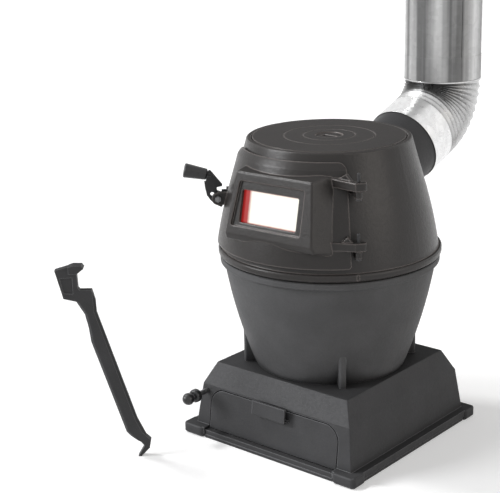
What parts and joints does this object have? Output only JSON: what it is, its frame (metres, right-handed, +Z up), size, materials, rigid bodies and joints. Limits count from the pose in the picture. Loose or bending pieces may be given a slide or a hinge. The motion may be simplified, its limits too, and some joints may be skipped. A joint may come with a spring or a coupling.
{
  "type": "tent stove",
  "caption": "Cast iron tent stove: barrel firebox on a square base, ash drawer, shaken grate, curved windowed door, ring lids, flue elbow with pipe, and a lid lifter.",
  "frame": {"origin": "on the floor, under the barrel's axis, at the middle of the bottom plate", "axes": "+Z up, -Y towards the fire door and ash drawer, +Y towards the flue, +X towards the door's hinge"},
  "size_m": [0.4034, 0.6955, 0.795],
  "materials": {
    "cast_iron": "satin stove paint over sand-cast grain",
    "flue_steel": "bright galvanised sheet",
    "raw_steel": "plain zinc-plated",
    "handle_black": "turned and blackened, semi-gloss",
    "gasket_fibre": "matt glass-fibre rope",
    "window_glass": "heat-proof glass, lit from behind by the fire"
  },
  "bodies": {
    "stove": {"base": "cast_iron", "bottom_plate": "cast_iron", "plate_screws": "raw_steel", "bowl": "cast_iron", "bowl_bolts": "raw_steel", "seam_gasket": "gasket_fibre", "bell": "cast_iron", "flue_collar": "cast_iron", "latch_keeper": "cast_iron", "keeper_screw": "raw_steel", "hinge_pin_upper": "raw_steel", "hinge_pin_lower": "raw_steel"},
    "ash_drawer": {"ash_drawer_front": "cast_iron", "ash_drawer_pull": "cast_iron", "ash_drawer_tray": "raw_steel", "ash_drawer_rivets": "raw_steel"},
    "grate": {"grate": "cast_iron"},
    "shaker": {"shaker_rod": "raw_steel", "shaker_knob": "handle_black", "shaker_collar": "handle_black"},
    "door": {"door_leaf": "cast_iron", "door_gasket": "gasket_fibre", "window_glass": "window_glass", "glass_gasket": "gasket_fibre", "glass_clips": "raw_steel", "clip_screws": "raw_steel", "latch_bolt": "raw_steel", "latch_nut": "raw_steel"},
    "latch": {"latch_lever": "cast_iron", "latch_grip": "handle_black"},
    "outer_ring": {"hob_ring_outer": "cast_iron"},
    "inner_ring": {"hob_ring_inner": "cast_iron"},
    "centre_lid": {"hob_centre_lid": "cast_iron"},
    "elbow": {"flue_sleeve": "flue_steel", "flue_elbow": "flue_steel"},
    "pipe": {"flue_pipe": "flue_steel"},
    "lifter": {"lid_lifter": "cast_iron"}
  },
  "joints": [
    {"name": "ash_drawer_slide", "type": "slide", "parent": "stove", "child": "ash_drawer", "axis": [0, -1, 0], "range_m": [0, 0.2]},
    {"name": "shaker_slide", "type": "slide", "parent": "stove", "child": "shaker", "axis": [0, -1, 0], "range_m": [-0.013, 0.013]},
    {"name": "grate_turn", "type": "hinge", "parent": "stove", "child": "grate", "pos_m": [0, 0, 0.1165], "axis": [0, 0, 1], "range_deg": [-9.7, 9.7]},
    {"name": "door_hinge", "type": "hinge", "parent": "stove", "child": "door", "pos_m": [0.12787, -0.10429, 0.37], "axis": [0, 0, 1], "range_deg": [0, 110]},
    {"name": "latch_turn", "type": "hinge", "parent": "door", "child": "latch", "pos_m": [-0.11904, -0.111, 0.3642], "axis": [0.682, -0.7314, 0], "range_deg": [0, 70]},
    {"name": "outer_ring_lift", "type": "slide", "parent": "stove", "child": "outer_ring", "axis": [0, 0, 1], "range_m": [0, 0.06]},
    {"name": "inner_ring_lift", "type": "slide", "parent": "outer_ring", "child": "inner_ring", "axis": [0, 0, 1], "range_m": [0, 0.06]},
    {"name": "centre_lid_lift", "type": "slide", "parent": "inner_ring", "child": "centre_lid", "axis": [0, 0, 1], "range_m": [0, 0.06]},
    {"name": "elbow_swivel", "type": "hinge", "parent": "stove", "child": "elbow", "pos_m": [0, 0.19, 0.4025], "axis": [0, 0.9379, 0.3469], "range_deg": [-30, 30]},
    {"name": "pipe_lift", "type": "slide", "parent": "elbow", "child": "pipe", "axis": [0, 0, 1], "range_m": [0, 0.12]},
    {"name": "lifter_lift", "type": "slide", "parent": "stove", "child": "lifter", "axis": [0, 0, 1], "range_m": [0, 0.2]}
  ],
  "couplings": [
    {"joint": "grate_turn", "follows": "shaker_slide", "rad_per_m": 12.821}
  ]
}
